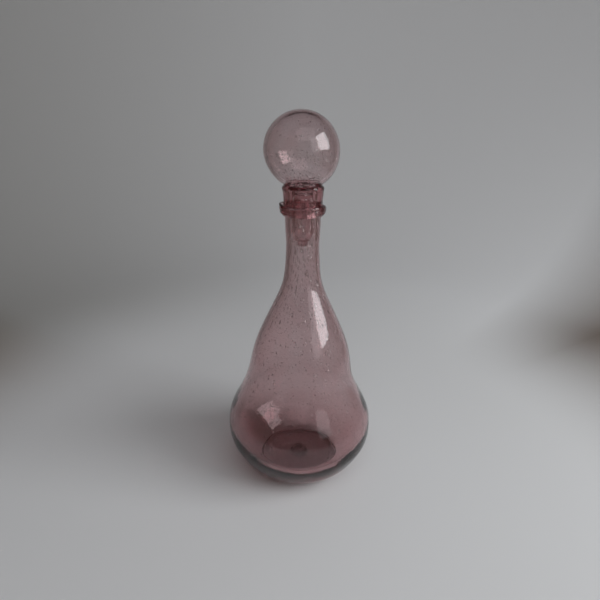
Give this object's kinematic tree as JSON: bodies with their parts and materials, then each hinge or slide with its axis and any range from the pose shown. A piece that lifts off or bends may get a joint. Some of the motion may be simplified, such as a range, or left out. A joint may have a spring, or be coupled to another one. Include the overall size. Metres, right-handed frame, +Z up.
{
  "type": "glass decanter",
  "caption": "Hand-blown bubble-glass decanter with a waisted bulb, a long neck with a trailed collar and a thick lip, and a hollow ball stopper that lifts out.",
  "frame": {"origin": "centre of the foot, on the surface the bottle stands on", "axes": "+Z up along the bottle's axis; -Y is the side that faces the viewer, and the lap of the collar's trail is on -X"},
  "size_m": [0.137, 0.137, 0.33],
  "materials": {
    "vessel_glass": "clear mauve with seed bubbles",
    "trail_glass": "clear wine red, thick",
    "pontil_glass": "broken, rough",
    "stopper_glass": "clear pale mauve with seed bubbles"
  },
  "bodies": {
    "bottle": {"bottle_body": "vessel_glass", "lip_wrap": "trail_glass", "neck_collar": "trail_glass", "pontil_scar": "pontil_glass"},
    "stopper": {"stopper_ball": "stopper_glass", "stopper_stem": "stopper_glass", "stopper_tip": "stopper_glass"}
  },
  "joints": [
    {"name": "stopper_lift", "type": "slide", "parent": "bottle", "child": "stopper", "axis": [0, 0, 1], "range_m": [0, 0.075]}
  ]
}
